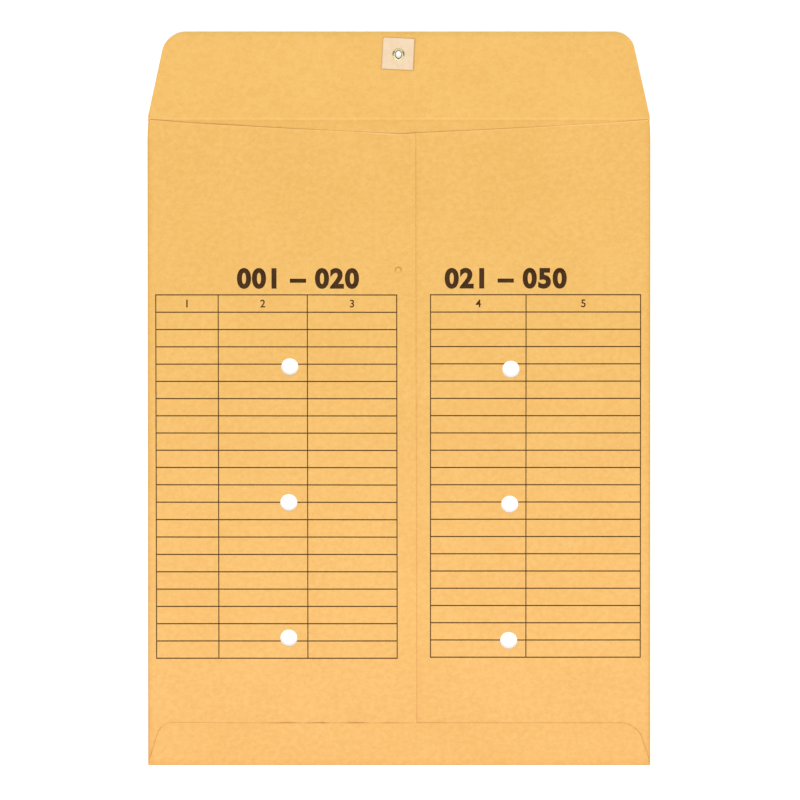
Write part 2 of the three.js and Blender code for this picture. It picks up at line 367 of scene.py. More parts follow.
def shift(piece, reach, share_at, direction="Z"):
    """Moves each vertex along a direction by reach times the share that share_at gives it."""
    group = piece.vertex_groups.new(name="share")
    for vertex in piece.data.vertices:
        share = share_at(vertex.co)
        if share > 0:
            group.add([vertex.index], min(share, 1), "REPLACE")
    apply_modifier(piece, "DISPLACE", direction=direction, mid_level=0, strength=reach, vertex_group="share")
    piece.vertex_groups.clear()


def smooth_share(part):
    """0 below 0, 1 above 1 and a smooth rise between."""
    part = min(max(part, 0), 1)
    return part * part * (3 - 2 * part)


def end_share(value, end, reach):
    """1 at end and beyond, 0 until reach before it."""
    return smooth_share((value - end + reach) / reach)


def bump_share(value, start, full, last, end):
    """A smooth rise from start to full and a fall from last to end."""
    return smooth_share((value - start) / (full - start)) * smooth_share((end - value) / (end - last))


def ridge_share(off, width):
    """1 where off is 0, and less on either side of it, as on a bell curve."""
    return math.exp(-(off / width) ** 2)


def stretch_share(x, stretches):
    """The highest share that a list of stretches gives to x."""
    return max(share * bump_share(x / MM, *ends) for share, *ends in stretches)


def settle_share(place):
    """How far the paper sinks between what holds it up: its score line and its two buttons."""
    from_fold = smooth_share(abs(place.y - FOLD_Y) / (60 * MM))
    from_body = smooth_share(((place.xy - BODY_BUTTON).length - 9 * MM) / (55 * MM))
    from_flap = smooth_share(((place.xy - FLAP_BUTTON).length - 9 * MM) / (45 * MM))
    wave = math.sin(place.x / (17 * MM) + 0.8) * math.cos(place.y / (23 * MM) - 0.4)
    return from_fold * from_body * from_flap * (0.8 + 0.2 * wave)


def settle(piece):
    shift(piece, -bpy.context.scene.envelope_paper.sag, settle_share)


def throat_y(x):
    """The mouth's cut edge, a shallow V."""
    reach = THROAT_APEX_X + SIDE_X if x < THROAT_APEX_X else SIDE_X - THROAT_APEX_X
    return THROAT_APEX_Y + THROAT_RISE * abs(x - THROAT_APEX_X) / reach


def mouth_share(place, reach):
    """1 at the mouth's cut edge, 0 from reach below it."""
    return 1 - smooth_share((throat_y(place.x) - place.y) / reach)


def gape_share(place):
    """How far the mouth gapes: most on the left, not at its middle, and a little right of the seam."""
    return mouth_share(place, 22 * MM) * stretch_share(place.x, GAPES)


def flat_share(place):
    """Where the mouth lies quite flat: left of the seam, on the right and a little at its left end."""
    return mouth_share(place, 14 * MM) * stretch_share(place.x, FLATS)


def inner_share(place):
    """1 between the side folds, 0 on them."""
    return smooth_share((SIDE_X - abs(place.x)) / FOLD_REACH)


def press_share(place):
    """How far the pocket is pressed flat: most at the mouth's edge, not at all along the side folds."""
    return mouth_share(place, PRESS_REACH) * inner_share(place)


def lone_panel_share(place):
    """Where no second panel lies under the left one, which is pressed further there."""
    return press_share(place) * smooth_share((RIGHT_LOW.x - place.x) / (20 * MM))


def fold_press_share(place):
    """The side folds' upper ends, pressed flat too: a point moves by its height over the front panel."""
    height = (place.z - FRONT_HIGH.z) / (LEFT_HIGH.z - FRONT_HIGH.z)
    return mouth_share(place, PRESS_REACH) * (1 - inner_share(place)) * min(max(height, 0), 1)


def fold_end_share(place):
    """The side folds' upper ends."""
    return smooth_share((abs(place.x) - 100 * MM) / (27 * MM)) * end_share(place.y, FOLD_Y, 9 * MM)


def bow_share(place):
    """The mouth's two slopes, bowed a little towards the foot."""
    return mouth_share(place, 20 * MM) * bump_share(abs(place.x) / MM, *BOW_ENDS)


def blunt_share(place):
    """The mouth's lowest point, which is blunt."""
    return mouth_share(place, 12 * MM) * bump_share(place.x / MM, -13, -3, 4, 13)


def lip_share(place):
    """The curl of the mouth's lip, less where it lies flat and on the far right."""
    part = (throat_y(place.x) - place.y) / LIP_REACH
    right = 1 - 0.6 * smooth_share((place.x - 66 * MM) / (14 * MM))
    return max(0, 1 - part) ** 1.4 * (1 - flat_share(place)) * right


def ring_share(place):
    """A round ridge, as the inner eyelet's barrel marks the paper in a stack."""
    reach = (place.xy - RING_CENTRE).length
    return ridge_share(reach - RING_RADIUS, RING_WIDTH)


def foot_share(place):
    """The right fold, which runs a little outwards towards the foot."""
    down = (FOLD_Y - place.y) / (FOLD_Y - TURN_IN_LOW.y)
    return max(down, 0) * smooth_share((place.x - 90 * MM) / (34 * MM))


def seam_skew_share(place):
    """The seam's edge, which runs a little to the right towards the foot."""
    down = (LEFT_HIGH.y - place.y) / (LEFT_HIGH.y - LEFT_LOW.y)
    return down * smooth_share(place.x / LEFT_HIGH.x)


def loose_share(place):
    """The places along the bottom flap's edge that the glue missed, which stand up a little."""
    loose = max(share * (1 - smooth_share(abs(place.x / MM - middle) / half)) for middle, half, share in TURN_IN_LOOSE)
    return end_share(place.y, TURN_IN_HIGH.y, 5 * MM) * loose


def glue_press_share(place):
    """The bottom flap's right part, pressed down where no left panel lies under it."""
    return end_share(place.y, TURN_IN_HIGH.y, 6 * MM) * smooth_share((place.x - LEFT_HIGH.x - 4 * MM) / (14 * MM))


def turn_in_side_share(place):
    """The bottom flap's two slanted edges, which stand a hair off the folds."""
    down = (TURN_IN_HIGH.y - place.y) / (TURN_IN_HIGH.y - TURN_IN_LOW.y)
    edge = TURN_IN_TIP_HALF + (TURN_IN_ROOT_HALF - TURN_IN_TIP_HALF) * down
    side = 1 if place.x < 0 else TURN_IN_RIGHT_SHARE
    return side * end_share(abs(place.x), edge, 2 * MM) * smooth_share((1 - down) / 0.25)


def turn_in_skew_share(place):
    """The bottom flap's edge, which runs a little higher at its left end."""
    up = (place.y - TURN_IN_LOW.y) / (TURN_IN_HIGH.y - TURN_IN_LOW.y)
    return smooth_share(up) * smooth_share((place.x + 121 * MM) / (60 * MM))


def bore_share(place):
    """How much of the bore's stretch a place takes: all at the bore, none at the rim."""
    return 1 - smooth_share((place.xy.length - EYELET_BORE) / (0.75 * MM))


def row_drift_share(place):
    """The left form's middle rows, which the press set a little high, most at their left end."""
    middle = bump_share(place.y / MM, -100, -30, -50, 30)
    return middle * (0.5 + 0.5 * smooth_share((-60 * MM - place.x) / (45 * MM)))


# Finishes

class Finish:
    """A node material under construction, with its body colour painted on layer by layer."""

    def __init__(self, name, body=None):
        self.material = bpy.data.materials.new(name)
        self.material.use_nodes = True
        self.tree = self.material.node_tree
        self.tree.nodes.clear()
        self.shader = self.tree.nodes.new("ShaderNodeBsdfPrincipled")
        output = self.tree.nodes.new("ShaderNodeOutputMaterial")
        self.tree.links.new(self.shader.outputs["BSDF"], output.inputs["Surface"])
        self.place = self.tree.nodes.new("ShaderNodeTexCoord").outputs["Object"]
        self.body = body

    def join(self, socket, value):
        """Links value to socket, or sets it there when it is a constant."""
        if isinstance(value, bpy.types.NodeSocket):
            self.tree.links.new(value, socket)
        else:
            socket.default_value = value

    def node(self, kind, inputs, output=0, **settings):
        """Adds one node, wires its inputs and gives its output."""
        node = self.tree.nodes.new(kind)
        for setting, value in settings.items():
            setattr(node, setting, value)
        for key, value in inputs.items():
            self.join(node.inputs[key], value)
        return node.outputs[output]

    def set(self, **values):
        """Gives the shader's sockets their values, with _ for a blank in a name."""
        for key, value in values.items():
            self.join(self.shader.inputs[key.replace("_", " ")], value)

    def done(self, **values):
        """Sets the body colour and the last values, and gives the material."""
        self.set(Base_Color=self.body, **values)
        return self.material

    def maths(self, operation, first, second=0.0):
        return self.node("ShaderNodeMath", {0: first, 1: second}, operation=operation)

    def times(self, first, *others):
        for other in others:
            first = self.maths("MULTIPLY", first, other)
        return first

    def most(self, first, second):
        return self.maths("MAXIMUM", first, second)

    def off(self, value, middle):
        """How far value is from middle."""
        return self.maths("ABSOLUTE", self.maths("SUBTRACT", value, middle))

    def axis(self, letter, place=None):
        return self.node("ShaderNodeSeparateXYZ", {0: place or self.place}, output=letter)

    def upright(self):
        """The Z part of the face's direction."""
        return self.axis("Z", self.node("ShaderNodeNewGeometry", {}, output="Normal"))

    def spread(self, stretch=(1, 1, 1), turn=0.0, centre=(0, 0, 0)):
        """The place, moved so that centre is its origin, turned about Z and stretched."""
        moved = self.node("ShaderNodeMapping", {"Vector": self.place, "Location": tuple(-part for part in centre)})
        return self.node("ShaderNodeMapping", {"Vector": moved, "Rotation": (0, 0, turn), "Scale": stretch})

    def reach(self, centre, drawn=0.0):
        """The distance in plan from centre, for a round shape drawn out along Y by a share."""
        place = self.spread(centre=(*centre, 0), stretch=(1, 1 / (1 + drawn), 1))
        x, y = self.axis("X", place), self.axis("Y", place)
        return self.maths("SQRT", self.maths("ADD", self.times(x, x), self.times(y, y)))

    def square(self, centre, turn):
        """The places across and up a square that is turned round its centre."""
        turned = self.spread(centre=(*centre, 0), turn=-turn)
        return self.axis("X", turned), self.axis("Y", turned)

    def noise(self, grain, detail=2.0, rough=0.5, place=None):
        """Noise from 0 to 1 whose marks are about grain metres across."""
        return self.node("ShaderNodeTexNoise", {
            "Vector": place or self.place, "Scale": 1 / grain, "Detail": detail, "Roughness": rough})

    def fibres(self, length, width, turn, start, end):
        """Thin fibres, all lying near one direction, as a share from 0 to 1."""
        lie = self.spread(stretch=(1 / length, 1 / width, 1 / width), turn=turn)
        strands = self.node("ShaderNodeTexNoise", {"Vector": lie, "Scale": 1.0, "Detail": 1.0, "Distortion": 0.35})
        return self.ramp(strands, start, end)

    def ramp(self, value, start, end, low=0.0, high=1.0):
        """Goes smoothly from low to high as value goes from start to end."""
        return self.node("ShaderNodeMapRange", {
            "Value": value, "From Min": start, "From Max": end, "To Min": low, "To Max": high},
            interpolation_type="SMOOTHSTEP")

    def band(self, value, start, full, last, end):
        """Rises smoothly from start to full and falls from last to end."""
        return self.times(self.ramp(value, start, full), self.ramp(value, end, last))

    def mix(self, share, first, second, blend="MIX"):
        node = self.tree.nodes.new("ShaderNodeMix")
        node.data_type, node.blend_type = "RGBA", blend
        self.join(node.inputs[0], share)
        for key, value in ((6, first), (7, second)):
            self.join(node.inputs[key], value if isinstance(value, bpy.types.NodeSocket) else (*value, 1))
        return node.outputs[2]

    def paint(self, share, colour, blend="MIX"):
        """Lays colour over the body, by a share."""
        self.body = self.mix(share, self.body, colour, blend)

    def tint(self, share, colour):
        """Multiplies the body by colour, by a share."""
        self.paint(share, colour, "MULTIPLY")

    def bump(self, height, depth, under=None):
        inputs = {"Height": height, "Distance": depth, "Strength": 1.0}
        if under is not None:
            inputs["Normal"] = under
        return self.node("ShaderNodeBump", inputs)


def finish_for(name, make):
    """The material of that name, made the first time that it is asked for."""
    return bpy.data.materials.get(name) or make(name)


def throat_lines(finish, y, side):
    """Y less the mouth's rise at that distance from the middle, so that the mouth's edge is one value."""
    return finish.maths("ADD", y, finish.times(side, -THROAT_RISE / SIDE_X))


def paint_fold_shade(finish, y, side):
    """Painted shade: deeper colour along the fold lines and at the flap's cut edge, where they roll and curl."""
    below = finish.ramp(y, 150 * MM, 140 * MM)
    warm = finish.most(finish.times(finish.ramp(side, 124.0 * MM, 126.0 * MM), below),
                       finish.ramp(y, -183.4 * MM, -185.6 * MM))
    fold_edge_shade = finish.most(finish.times(finish.ramp(side, 125.9 * MM, 126.7 * MM), below),
                       finish.ramp(y, -186.2 * MM, -187.0 * MM))
    head = finish.ramp(y, 184.6 * MM, 187.2 * MM)
    # Painted shade: darker bands along the side folds, the foot fold and the flap's tip.
    finish.tint(finish.times(warm, 0.8), (0.99, 0.93, 0.84))
    finish.tint(fold_edge_shade, (0.84, 0.90, 0.95))
    finish.tint(finish.times(head, 0.9), (0.87, 0.95, 0.90))


def mark_front(finish, x, y, side):
    """Painted shade below the score line and a painted highlight along it, painted light just above the mouth's
    middle, and a painted shadow along the patch's left, right and lower edges.
    """
    # Painted shade below the score line, deepest in the strip just under it inside the pocket's mouth; painted
    # highlight along the score itself.
    inside = finish.ramp(y, FOLD_Y - 0.3 * MM, FOLD_Y - 1.1 * MM)
    shade_below_score = finish.times(inside, finish.ramp(y, FOLD_Y - 2.9 * MM, FOLD_Y - 1.1 * MM))
    score_highlight = finish.band(y, FOLD_Y - 0.5 * MM, FOLD_Y + 0.1 * MM, FOLD_Y + 0.3 * MM, FOLD_Y + 1.0 * MM)
    finish.tint(inside, (0.98, 0.965, 0.95))
    finish.tint(shade_below_score, (0.99, 0.975, 0.96))
    finish.paint(finish.times(score_highlight, 0.25), (1.0, 0.64, 0.22))

    over = throat_lines(finish, y, side)
    # Painted light on the front sheet just above the mouth's edge near its lowest point, which thins the shadow line
    # there.
    light_over_mouth = finish.times(
        finish.ramp(x, -24 * MM, -14 * MM), finish.ramp(x, 9 * MM, -1 * MM, 0.0, 0.4),
        finish.ramp(over, THROAT_APEX_Y + 1.1 * MM, THROAT_APEX_Y + 0.5 * MM))
    finish.paint(light_over_mouth, (1.0, 0.66, 0.26))

    edge = PATCH_SIDE / 2
    across, up = finish.square(FLAP_BUTTON + PATCH_OFFSET, FLAP_PATCH_TURN)
    beyond = finish.maths("SUBTRACT", finish.most(across, finish.times(up, -1.0)), edge)
    # Painted shadow on the kraft just outside the patch's left, right and lower edges, on upward faces only.
    stain_and_shadow = finish.times(
        finish.band(beyond, -0.15 * MM, 0.05 * MM, 0.2 * MM, 0.65 * MM),
        finish.ramp(across, -edge - 0.2 * MM, -edge + 0.3 * MM), finish.ramp(up, edge + 0.1 * MM, edge - 0.3 * MM),
        finish.ramp(finish.upright(), 0.2, 0.6), 0.9)
    finish.tint(stain_and_shadow, (0.78, 0.78, 0.70))


def mark_panels(finish, x, y, side, lie):
    """The panels' patchy tone, a painted highlight along the mouth's lip, and painted shade on the upper side of the
    eyelet's ring.
    """
    patchy = finish.noise(1.8 * MM, detail=2, place=lie)
    finish.tint(finish.ramp(patchy, 0.36, 0.64), (0.976, 0.978, 0.987))
    finish.tint(finish.ramp(y, 50 * MM, 120 * MM), (1.0, 0.983, 0.978))
    finish.tint(finish.ramp(y, -125 * MM, -145 * MM), (1.0, 0.985, 1.006))
    finish.tint(finish.ramp(y, -155 * MM, -170 * MM), (0.994, 0.98, 0.965))

    # Painted highlight on the panels just below the mouth's cut edge, strongest on the right and near the middle.
    bow = finish.band(side, *(end * MM for end in BOW_ENDS))
    lip = finish.maths("ADD", throat_lines(finish, y, side), finish.times(bow, MOUTH_BOW))
    cut = finish.ramp(lip, THROAT_APEX_Y - 1.0 * MM, THROAT_APEX_Y - 0.3 * MM)
    lip_highlight = finish.most(finish.ramp(x, 68 * MM, 88 * MM, 0.2, 0.52), finish.times(
        finish.ramp(x, -24 * MM, -12 * MM), finish.ramp(x, 8 * MM, -2 * MM, 0.0, 0.5)))
    finish.paint(finish.times(cut, lip_highlight), (1.0, 0.65, 0.24))

    # Painted shade on the ring's upper side, fading towards its lower side.
    ring = finish.off(finish.reach(RING_CENTRE), RING_RADIUS)
    ring_shade = finish.times(finish.ramp(ring, 0.6 * MM, 0.15 * MM),
                        finish.ramp(y, RING_CENTRE.y - 1.2 * MM, RING_CENTRE.y + 0.3 * MM, 0.15, 1.0))
    finish.tint(ring_shade, (0.70, 0.63, 0.43))


def shade_cut_edges(finish, x, y, side):
    """Painted shade on the paper's cut edges, left out where they are pressed into the sheet below."""
    upright = finish.maths("ABSOLUTE", finish.upright())
    cut_edge_shade = finish.times(finish.ramp(upright, 0.6, 0.3), finish.ramp(side, 125.6 * MM, 124.6 * MM))
    pressed = finish.most(
        finish.times(finish.ramp(x, 12 * MM, 34 * MM), finish.ramp(y, -158 * MM, -162 * MM)),
        finish.times(finish.ramp(x, 68 * MM, 84 * MM), finish.ramp(y, 120 * MM, 130 * MM)))
    # Painted shade on the upright cut faces, except where they lie pressed flat.
    finish.tint(finish.times(cut_edge_shade, finish.maths("SUBTRACT", 1.0, pressed)), (0.60, 0.64, 0.70))


def kraft_finish(name, scored=False):
    """Golden kraft paper: cloudy pulp, long fibres, a few flecks, a painted light falloff from the flap to the foot,
    and painted shade along the folds and cut edges.
    """
    colours = bpy.context.scene.envelope_colours
    finish = Finish(name)
    x, y = finish.axis("X"), finish.axis("Y")
    side = finish.maths("ABSOLUTE", x)
    # Painted light falloff: the body colour runs lighter from the flap to the foot.
    finish.body = finish.mix(finish.ramp(y, 105 * MM, -150 * MM), tuple(colours.kraft_top), tuple(colours.kraft_low))
    lie = finish.spread(stretch=(0.86, 1, 1))
    cloud = finish.noise(2.6 * MM, detail=3, rough=0.55, place=lie)
    pulp = finish.noise(1.25 * MM, detail=2, rough=0.6, place=lie)
    drift = finish.noise(38 * MM, detail=2)
    finish.tint(finish.ramp(cloud, 0.36, 0.64), (0.974, 0.94, 0.885))
    finish.tint(finish.ramp(pulp, 0.34, 0.66), (0.984, 0.957, 0.93))
    finish.tint(finish.ramp(drift, 0.35, 0.65, 0.0, 0.9), (0.985, 0.97, 0.94))
    pale = finish.most(finish.fibres(4.5 * MM, 0.42 * MM, 0.2, 0.66, 0.78),
                       finish.fibres(3.6 * MM, 0.36 * MM, 1.25, 0.68, 0.8))
    dark = finish.most(finish.fibres(4.0 * MM, 0.38 * MM, -0.5, 0.69, 0.8),
                       finish.fibres(3.2 * MM, 0.34 * MM, 2.2, 0.7, 0.82))
    fleck = finish.ramp(finish.noise(1.2 * MM, detail=1), 0.74, 0.84)
    finish.paint(finish.times(pale, 0.35), (1.0, 0.66, 0.28))
    finish.paint(finish.times(dark, 0.4), (0.78, 0.40, 0.10))
    finish.paint(finish.times(fleck, 0.18), (0.52, 0.27, 0.07))
    paint_fold_shade(finish, y, side)
    if scored:
        mark_front(finish, x, y, side)
    else:
        mark_panels(finish, x, y, side, lie)
    shade_cut_edges(finish, x, y, side)
    tooth = finish.noise(0.45 * MM, detail=3, rough=0.6)
    grain = finish.bump(tooth, 0.012 * MM, finish.bump(finish.most(pale, dark), 0.008 * MM))
    return finish.done(Normal=grain, Roughness=finish.ramp(cloud, 0.3, 0.7, 0.72, 0.86), Specular_IOR_Level=0.25)


def patch_finish(name, centre, turn):
    """Cream reinforcing paper with a soft pink tinge and its own fibres, and painted shade along its left, right and
    lower edges.
    """
    finish = Finish(name, tuple(bpy.context.scene.envelope_colours.patch))
    cloud = finish.noise(3.2 * MM, detail=3)
    finish.tint(finish.ramp(cloud, 0.35, 0.65), (0.985, 0.93, 0.90))
    strands = finish.most(finish.fibres(2.6 * MM, 0.3 * MM, 0.9, 0.64, 0.78),
                          finish.fibres(2.4 * MM, 0.3 * MM, -0.4, 0.64, 0.78))
    finish.paint(finish.times(strands, 0.4), (0.86, 0.66, 0.44))
    across, up = finish.square(centre, turn)
    outwards = finish.most(finish.maths("ABSOLUTE", across), finish.times(up, -1.0))
    # Painted shade along the patch's left, right and lower edges.
    border_shade = finish.ramp(outwards, PATCH_SIDE / 2 - 0.5 * MM, PATCH_SIDE / 2 - 0.15 * MM)
    finish.paint(finish.times(border_shade, 0.75), (0.56, 0.38, 0.15))
    return finish.done(Roughness=finish.ramp(cloud, 0.3, 0.7, 0.66, 0.8), Specular_IOR_Level=0.3,
                       Normal=finish.bump(finish.noise(0.35 * MM, detail=3), 0.012 * MM))


def glue_finish(name):
    """Dried paper glue, pale amber and a little uneven."""
    finish = Finish(name, (0.80, 0.64, 0.36))
    cloud = finish.noise(1.8 * MM, detail=3)
    finish.paint(finish.ramp(cloud, 0.35, 0.65), (0.68, 0.50, 0.24))
    return finish.done(Roughness=finish.ramp(cloud, 0.3, 0.7, 0.28, 0.5), Normal=finish.bump(cloud, 0.01 * MM))


def ink_finish(name):
    """Dark brown printing ink, thinner where the paper's tooth took less of it."""
    finish = Finish(name, tuple(bpy.context.scene.envelope_colours.ink))
    tooth = finish.noise(0.5 * MM, detail=3, rough=0.65)
    wash = finish.noise(11 * MM, detail=2)
    finish.paint(finish.ramp(tooth, 0.45, 0.75, 0.0, 0.5), (0.15, 0.066, 0.02))
    finish.paint(finish.ramp(wash, 0.4, 0.65, 0.0, 0.35), (0.09, 0.042, 0.014))
    return finish.done(Roughness=finish.ramp(tooth, 0.3, 0.7, 0.6, 0.78), Specular_IOR_Level=0.1,
                       Normal=finish.bump(tooth, 0.006 * MM))


def metal_finish(name, centre):
    """Brass-plated eyelet metal with blotchy tarnish and a pale rim, and painted shade: a dark bore and a dark hook on
    either side of the rim.
    """
    finish = Finish(name, tuple(bpy.context.scene.envelope_colours.metal))
    stain_and_shadow = finish.noise(0.9 * MM, detail=3, rough=0.6)
    scratch = finish.node("ShaderNodeTexNoise", {
        "Vector": finish.spread(stretch=(900, 6000, 900), turn=0.6), "Scale": 1.0, "Detail": 2.0})
    reach = finish.maths("ADD", finish.reach(centre), finish.ramp(stain_and_shadow, 0.3, 0.7, -0.15 * MM, 0.15 * MM))
    up = finish.maths("SUBTRACT", finish.axis("Y"), centre[1])
    # Painted shade: the bore and a hook on either side of the clinched rim's upper half go dark.
    bore = finish.most(
        finish.times(finish.ramp(finish.reach(centre, BORE_STRETCH_DOWN), 1.72 * MM, 1.5 * MM),
                     finish.ramp(up, 0.2 * MM, -0.2 * MM)),
        finish.times(finish.ramp(finish.reach(centre, BORE_STRETCH_UP), 1.9 * MM, 1.7 * MM),
                     finish.ramp(up, -0.2 * MM, 1.2 * MM)))
    hook = finish.times(finish.band(up, -1.0 * MM, -0.1 * MM, 1.5 * MM, 2.2 * MM),
                        finish.ramp(finish.off(reach, 2.7 * MM), 0.5 * MM, 0.12 * MM))
    dark = finish.most(bore, hook)
    finish.paint(finish.ramp(stain_and_shadow, 0.42, 0.66, 0.0, 0.5), (0.60, 0.50, 0.30))
    finish.paint(finish.times(dark, 0.85), (0.11, 0.09, 0.05))
    rough = finish.maths("ADD", finish.ramp(stain_and_shadow, 0.3, 0.7, 0.58, 0.72), finish.times(dark, 0.1))
    return finish.done(Roughness=rough, Normal=finish.bump(scratch, 0.004 * MM), Metallic=1.0)


def fibre_finish(name, centre):
    """Red-brown pressed fibre with a faint turned grain and a paler, rubbed rim."""
    finish = Finish(name, tuple(bpy.context.scene.envelope_colours.button))
    reach = finish.reach(centre)
    cloud = finish.noise(1.6 * MM, detail=4, rough=0.6)
    hairs = finish.most(finish.fibres(2.4 * MM, 0.22 * MM, 0.4, 0.6, 0.78),
                        finish.fibres(2.2 * MM, 0.22 * MM, 1.9, 0.6, 0.78))
    finish.paint(finish.ramp(cloud, 0.35, 0.68), (0.13, 0.028, 0.016))
    finish.paint(finish.times(hairs, 0.35), (0.42, 0.14, 0.08))
    finish.paint(finish.ramp(reach, 7.45 * MM, 7.95 * MM, 0.0, 0.45), (0.46, 0.17, 0.10))
    rings = finish.maths("SINE", finish.times(reach, 2 * math.pi / (0.42 * MM)))
    return finish.done(Roughness=finish.ramp(cloud, 0.3, 0.7, 0.42, 0.6),
                       Normal=finish.bump(rings, 0.003 * MM, finish.bump(cloud, 0.02 * MM)))


def floor_finish():
    """A pale floor that takes the envelope's shadow and shows as white from where it is looked at."""
    finish = Finish("pale_floor")
    speckle = finish.noise(3 * MM, detail=2)
    finish.body = finish.mix(finish.ramp(speckle, 0.3, 0.7), (0.79, 0.79, 0.79), (0.81, 0.81, 0.81))
    reach = finish.node("ShaderNodeVectorMath", {0: finish.place}, output="Value", operation="LENGTH")
    glow = finish.ramp(reach, WHITE_START, WHITE_FULL, 0.57, 1.0)
    path = finish.tree.nodes.new("ShaderNodeLightPath").outputs
    seen = finish.most(path["Is Camera Ray"], finish.most(path["Is Glossy Ray"], path["Is Transmission Ray"]))
    return finish.done(Roughness=0.9, Specular_IOR_Level=0.0, Emission_Color=(1, 1, 1, 1),
                       Emission_Strength=finish.times(glow, seen))


def dress(piece, material, body=None, replaced=()):
    """Gives piece its material and its body, and hides the CAD nodes that it stands for."""
    piece.data.materials.clear()
    piece.data.materials.append(material)
    if replaced:
        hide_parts(*replaced)
    if body:
        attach(piece, body)


# Sizes and colours

def length(name, description, default, low, high):
    """A length setting, given in millimetres."""
    return FloatProperty(name=name, description=description, default=default * MM, min=low * MM, max=high * MM,
                         unit="LENGTH")


def colour(name, description, *default):
    return FloatVectorProperty(name=name, description=description, subtype="COLOR", size=3, default=default,
                               min=0, max=1)


class EnvelopePaperSettings(bpy.types.PropertyGroup):
    """Sizes of the paper's own shape."""

    sag: length("Sag", "How far the paper sinks between its buttons and its score line", 0.5, 0, 1.2)
    mouth_lift: length("Mouth lift", "How far the mouth's edge stands up where it gapes most", 0.24, 0, 0.5)
    mouth_press: length("Mouth press", "How far the mouth's edge is pressed down towards the front panel",
                        0.84, 0, 0.86)
    lip: length("Lip", "How far a cut edge curls", 0.08, 0, 0.3)
    ring_height: length("Ring height", "Height of the ring that the inner eyelet presses into the paper",
                        0.18, 0, 0.3)
    turn_in_lift: length("Turn-in lift", "How far the bottom flap's edge stands up where the glue missed it",
                         0.58, 0, 0.8)


class EnvelopeFormSettings(bpy.types.PropertyGroup):
    """Sizes of the printed forms."""

    row_line: length("Row line", "Width of a line between two rows", 0.565, 0.1, 2)
    column_line: length("Column line", "Width of a line between two columns", 0.50, 0.1, 2)
    proud: length("Ink film", "How far the ink stands on the paper", 0.02, 0.005, 0.1)
    rows: IntProperty(name="Rows", description="Rows of each form, its head included", default=21, min=2, max=60)
    left_heading: StringProperty(name="Left heading", description="Numbers over the left form", default="001 – 020")
    right_heading: StringProperty(name="Right heading", description="Numbers over the right form",
                                  default="021 – 050")
    heading_height: length("Heading height", "Height of a heading's numerals", 10.7, 2, 30)
    head_height: length("Column number height", "Height of the numerals in the head row", 4.0, 1, 8)


class EnvelopeColourSettings(bpy.types.PropertyGroup):
    """Colours of the finishes."""

    # The foot's kraft colour is lighter than the flap's: a painted light falloff from the flap to the foot.
    kraft_top: colour("Kraft at the flap", "Colour of the kraft paper at the flap", 0.925, 0.562, 0.1624)
    kraft_low: colour("Kraft at the foot", "Colour of the kraft paper at the foot", 0.996, 0.588, 0.1926)
    patch: colour("Patch", "Colour of the reinforcing patches", 0.912, 0.716, 0.49)
    ink: colour("Ink", "Colour of the printing ink", 0.056, 0.024, 0.007)
    metal: colour("Eyelets", "Colour of the eyelets' metal", 0.70, 0.64, 0.38)
    button: colour("Buttons", "Colour of the fibre buttons", 0.27, 0.06, 0.035)


class EnvelopeStageSettings(bpy.types.PropertyGroup):
    """The camera and the light."""

    lens: FloatProperty(name="Lens", description="Focal length in millimetres, long as for a flat copy shot",
                        default=1400, min=50, max=1600)
    elevation: FloatProperty(
        name="Elevation", description="Height of the camera over the horizon at the envelope's foot, where more "
        "than 90 degrees tilts it towards the flap's side",
        default=math.radians(98.1), min=0, max=math.radians(180), subtype="ANGLE")
    view_width: length("View width", "Width of what the camera takes in", 404.6, 100, 2000)
    sky: FloatProperty(name="Sky", description="Strength of the even light from all round", default=0.70,
                       min=0, max=2)
    key: FloatProperty(name="Key", description="Strength of the soft key light", default=1.173, min=0, max=10)


# Paper

def shape_mouth(panel):
    """Cuts the panel at the V's lowest point and moves its top corners down to the mouth's edge."""
    open_mesh(panel)
    cut_across((THROAT_APEX_X, 0, 0), (1, 0, 0))
    close_mesh()
    for corner in [vertex.co.copy() for vertex in panel.data.vertices if vertex.co.y > THROAT_APEX_Y]:
        open_mesh(panel)
        pick(panel, lambda place: (place - corner).length < NEAR)
        bpy.ops.transform.translate(value=(0, throat_y(corner.x) - corner.y, 0))
        close_mesh()


def score_mouth(panel):
    """Adds lines along both slopes of the mouth, to hold the curl of its lip."""
    for side in (-1, 1):
        rise = THROAT_RISE / (SIDE_X - side * THROAT_APEX_X)
        for drop in LIP_LINES:
            open_mesh(panel)
            pick(panel, lambda middle: (middle.x - THROAT_APEX_X) * side > 0, "FACE")
            bpy.ops.mesh.bisect(
                plane_co=(THROAT_APEX_X, THROAT_APEX_Y - drop * MM, 0), plane_no=(-rise * side, 1, 0))
            close_mesh()


def press_mouth(piece):
    """Presses the pocket's mouth flat, as it lies in a stack, and lets it gape where it does."""
    settings = bpy.context.scene.envelope_paper
    shift(piece, -settings.mouth_press, press_share)
    shift(piece, -settings.mouth_press, fold_press_share)
    shift(piece, -LONE_PANEL_PRESS, lone_panel_share)
    shift(piece, settings.mouth_lift, gape_share)
    shift(piece, -FLAT_DEPTH, flat_share)


def thicken(sheet):
    """Gives a sheet the paper's thickness, downwards from its face."""
    apply_modifier(sheet, "SOLIDIFY", thickness=PAPER, offset=-1)


def set_panel(panel, holes, fold_press):
    """Thickens, punches and settles a panel, presses its mouth and its fold's end, and curls and bows its lip."""
    thicken(panel)
    drill(panel, holes, SIGHT_HOLE_RADIUS)
    settle(panel)
    press_mouth(panel)
    shift(panel, -fold_press, fold_press_share)
    shift(panel, bpy.context.scene.envelope_paper.lip, lip_share)
    shift(panel, -MOUTH_BOW, bow_share, "Y")
    shift(panel, APEX_BLUNTING, blunt_share, "Y")


